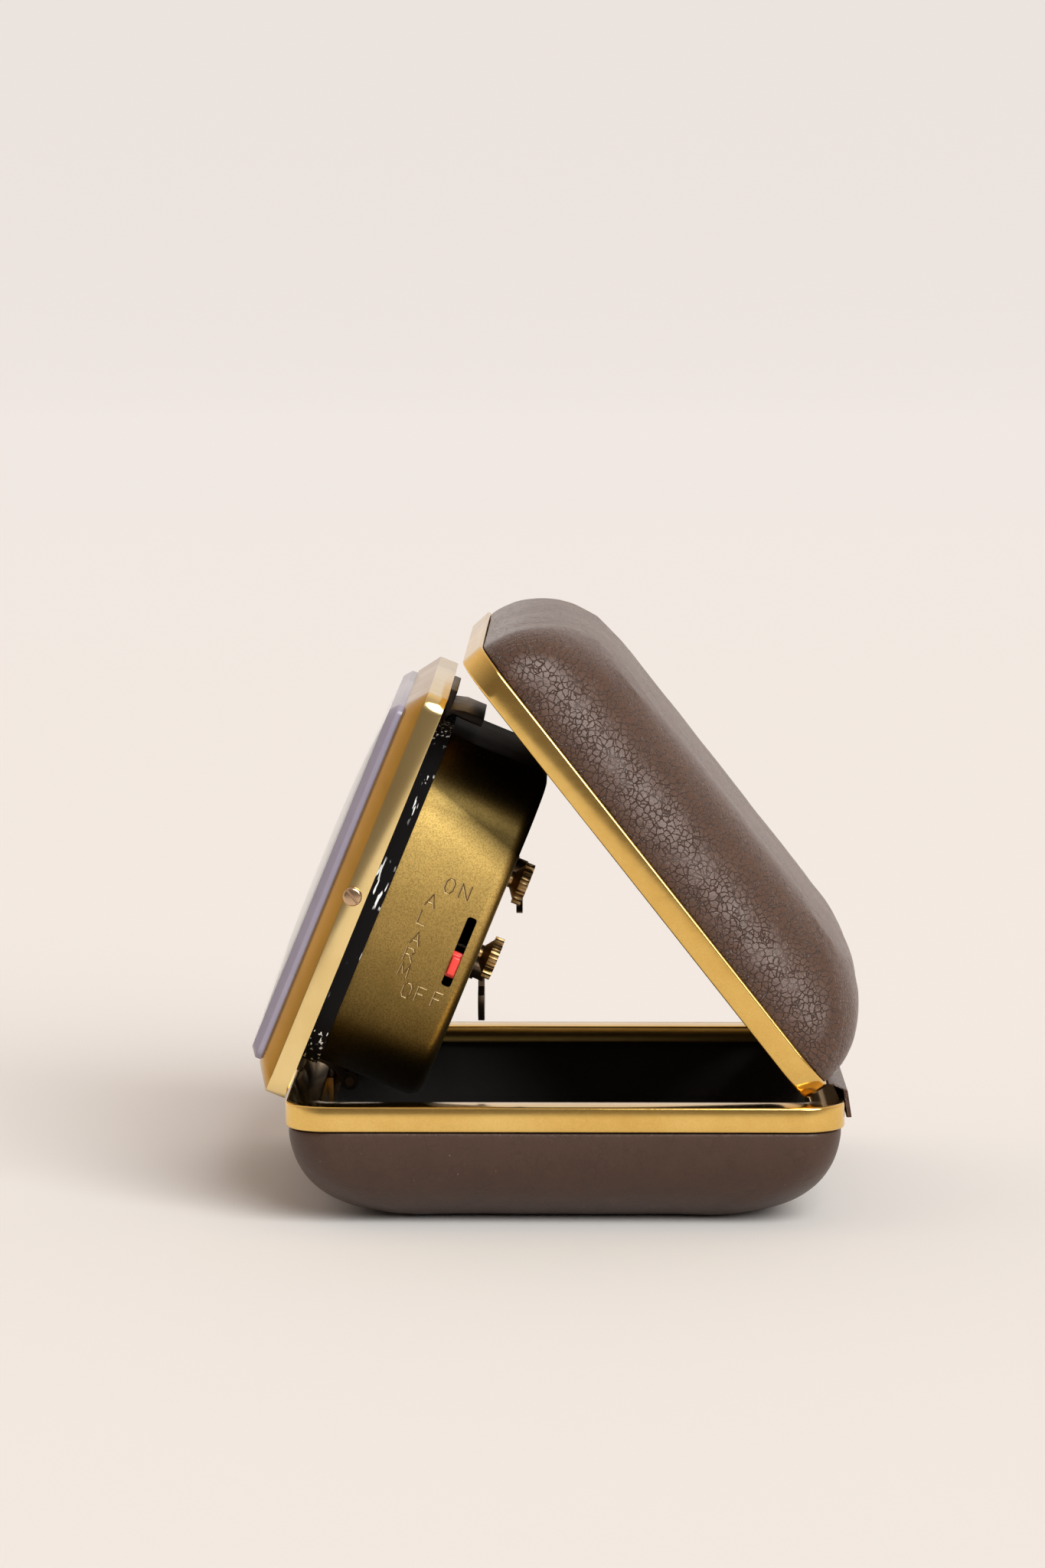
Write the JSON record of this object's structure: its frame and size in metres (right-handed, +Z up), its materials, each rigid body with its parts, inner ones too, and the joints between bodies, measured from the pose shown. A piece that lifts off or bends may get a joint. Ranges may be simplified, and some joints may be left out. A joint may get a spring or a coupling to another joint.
{
  "type": "folding travel alarm clock",
  "caption": "Square desk clock whose tilting head stands on a padded leather base, with a matching padded lid propped behind it",
  "frame": {"origin": "middle of the flat foot under the base, on the table", "axes": "+Z up, the dial faces -Y, the alarm switch is on +X"},
  "size_m": [0.078, 0.0823, 0.0808],
  "materials": {
    "leather": "dark brown grained leather, satin",
    "rail_brass": "polished gilt brass",
    "drum_brass": "satin grained brass",
    "bezel_brass": "satin brass with a polished shoulder",
    "bronze_trim": "dull dark bronze",
    "holder_black": "black paint",
    "lining_black": "black flock",
    "crystal_clear": "clear domed crystal",
    "dial_white": "matt cream dial",
    "hand_black": "black lacquer",
    "switch_red": "red plastic",
    "movement_brass": "plain machined brass",
    "movement_steel": "plain steel"
  },
  "bodies": {
    "base": {"base_leather": "leather", "base_tray": "lining_black", "base_frame": "rail_brass", "base_lining": "lining_black", "hinge_leaf_base": "bronze_trim", "hinge_pin": "bronze_trim", "spine_strap": "leather"},
    "lid": {"lid_leather": "leather", "lid_tray": "lining_black", "lid_frame": "rail_brass", "lid_lining": "lining_black"},
    "head": {"bezel": "bezel_brass", "bezel_screws": "bezel_brass", "crystal": "crystal_clear", "dial": "dial_white", "movement_holder": "holder_black", "rear_case": "drum_brass", "hinge_leaf_head": "bronze_trim", "catch_clip": "bronze_trim", "front_plate": "movement_brass", "back_plate": "movement_brass", "plate_pillars": "movement_brass", "hairspring": "movement_steel"},
    "switch": {"alarm_slider": "switch_red"},
    "hand_setting": {"hand_setting_knob": "bronze_trim", "hand_setting_arbor": "movement_steel"},
    "minute_works": {"minute_wheel": "movement_brass"},
    "cannon": {"cannon_pinion": "movement_steel", "minute_hand": "hand_black"},
    "hour_works": {"hour_wheel": "movement_brass", "hour_hand": "hand_black"},
    "alarm_setting": {"alarm_setting_knob": "bronze_trim", "alarm_setting_arbor": "movement_steel"},
    "alarm_works": {"alarm_wheel": "movement_brass", "alarm_hand": "switch_red"},
    "time_key": {"time_winding_key": "bronze_trim"},
    "time_leaf": {"time_key_leaf": "bronze_trim"},
    "alarm_key": {"alarm_winding_key": "bronze_trim"},
    "alarm_leaf": {"alarm_key_leaf": "bronze_trim"},
    "time_spring_barrel": {"time_barrel": "movement_brass"},
    "alarm_spring_barrel": {"alarm_barrel": "movement_brass"},
    "centre": {"centre_wheel": "movement_brass"},
    "third": {"third_wheel": "movement_brass"},
    "fourth": {"fourth_wheel": "movement_brass"},
    "escape": {"escape_wheel": "movement_brass"},
    "pallet": {"pallet_lever": "movement_steel"},
    "balance": {"balance_wheel": "movement_brass"},
    "hammer": {"alarm_hammer": "movement_steel"}
  },
  "joints": [
    {"name": "lid_hinge", "type": "hinge", "parent": "base", "child": "lid", "pos_m": [0, 0.03499, 0.01748], "axis": [-1, 0, 0], "range_deg": [0, 60], "deforming": ["spine_strap"]},
    {"name": "head_hinge", "type": "hinge", "parent": "base", "child": "head", "pos_m": [0, -0.0298, 0.01592], "axis": [-1, 0, 0], "range_deg": [0, 67.7]},
    {"name": "switch_slide", "type": "slide", "parent": "head", "child": "switch", "axis": [0, 0.3795, 0.9252], "range_m": [-0.0014, 0.005]},
    {"name": "hand_setting_turn", "type": "hinge", "parent": "head", "child": "hand_setting", "pos_m": [0.013, -0.01862, 0.03685], "axis": [0, -0.9252, 0.3795], "continuous": true},
    {"name": "minute_wheel_turn", "type": "hinge", "parent": "head", "child": "minute_works", "pos_m": [0.00554, -0.01832, 0.03759], "axis": [0, -0.9252, 0.3795], "continuous": true},
    {"name": "minute_hand_turn", "type": "hinge", "parent": "head", "child": "cannon", "pos_m": [0, -0.01744, 0.03972], "axis": [0, -0.9252, 0.3795], "continuous": true},
    {"name": "hour_hand_turn", "type": "hinge", "parent": "head", "child": "hour_works", "pos_m": [0, -0.01744, 0.03972], "axis": [0, -0.9252, 0.3795], "continuous": true},
    {"name": "alarm_setting_turn", "type": "hinge", "parent": "head", "child": "alarm_setting", "pos_m": [0.013, -0.01441, 0.04712], "axis": [0, -0.9252, 0.3795], "continuous": true},
    {"name": "alarm_hand_turn", "type": "hinge", "parent": "head", "child": "alarm_works", "pos_m": [0, -0.01744, 0.03972], "axis": [0, -0.9252, 0.3795], "continuous": true},
    {"name": "time_key_turn", "type": "hinge", "parent": "head", "child": "time_key", "pos_m": [-0.009, -0.02048, 0.03231], "axis": [0, -0.9252, 0.3795], "continuous": true},
    {"name": "time_leaf_fold", "type": "hinge", "parent": "time_key", "child": "time_leaf", "pos_m": [-0.009, -0.01192, 0.0288], "axis": [-1, 0, 0], "range_deg": [0, 22.3]},
    {"name": "alarm_key_turn", "type": "hinge", "parent": "head", "child": "alarm_key", "pos_m": [-0.0185, -0.01517, 0.04527], "axis": [0, -0.9252, 0.3795], "continuous": true},
    {"name": "alarm_leaf_fold", "type": "hinge", "parent": "alarm_key", "child": "alarm_leaf", "pos_m": [-0.0185, -0.00661, 0.04176], "axis": [-1, 0, 0], "range_deg": [0, 22.3]},
    {"name": "third_wheel_turn", "type": "hinge", "parent": "head", "child": "third", "pos_m": [0.00811, -0.01662, 0.04173], "axis": [0, -0.9252, 0.3795], "continuous": true},
    {"name": "time_barrel_turn", "type": "hinge", "parent": "head", "child": "time_spring_barrel", "pos_m": [-0.009, -0.02048, 0.03231], "axis": [0, -0.9252, 0.3795], "continuous": true},
    {"name": "centre_wheel_turn", "type": "hinge", "parent": "head", "child": "centre", "pos_m": [0, -0.01744, 0.03972], "axis": [0, -0.9252, 0.3795], "continuous": true},
    {"name": "fourth_wheel_turn", "type": "hinge", "parent": "head", "child": "fourth", "pos_m": [0.01471, -0.01662, 0.04173], "axis": [0, -0.9252, 0.3795], "continuous": true},
    {"name": "escape_wheel_turn", "type": "hinge", "parent": "head", "child": "escape", "pos_m": [0.01991, -0.01662, 0.04173], "axis": [0, -0.9252, 0.3795], "continuous": true},
    {"name": "pallet_rock", "type": "hinge", "parent": "head", "child": "pallet", "pos_m": [0.0191, -0.02123, 0.0384], "axis": [0, -0.9252, 0.3795], "range_deg": [-6, 6]},
    {"name": "balance_swing", "type": "hinge", "parent": "head", "child": "balance", "pos_m": [0.0176, -0.0237, 0.02974], "axis": [0, -0.9252, 0.3795], "range_deg": [-150, 150], "deforming": ["hairspring"]},
    {"name": "alarm_barrel_turn", "type": "hinge", "parent": "head", "child": "alarm_spring_barrel", "pos_m": [-0.0185, -0.01517, 0.04527], "axis": [0, -0.9252, 0.3795], "continuous": true},
    {"name": "hammer_rock", "type": "hinge", "parent": "head", "child": "hammer", "pos_m": [0.003, -0.01054, 0.05656], "axis": [0, -0.9252, 0.3795], "range_deg": [-12, 12]}
  ],
  "couplings": [
    {"joint": "time_leaf_fold", "follows": "head_hinge", "ratio": 0.32939},
    {"joint": "alarm_leaf_fold", "follows": "head_hinge", "ratio": 0.32939},
    {"joint": "minute_wheel_turn", "follows": "hand_setting_turn", "ratio": -0.66667},
    {"joint": "minute_hand_turn", "follows": "hand_setting_turn", "ratio": 2},
    {"joint": "hour_hand_turn", "follows": "hand_setting_turn", "ratio": 0.16667},
    {"joint": "alarm_hand_turn", "follows": "alarm_setting_turn", "ratio": -0.33333},
    {"joint": "centre_wheel_turn", "follows": "third_wheel_turn", "ratio": -0.25},
    {"joint": "time_barrel_turn", "follows": "third_wheel_turn", "ratio": 0.0625},
    {"joint": "fourth_wheel_turn", "follows": "third_wheel_turn", "ratio": -4},
    {"joint": "escape_wheel_turn", "follows": "third_wheel_turn", "ratio": 16}
  ]
}
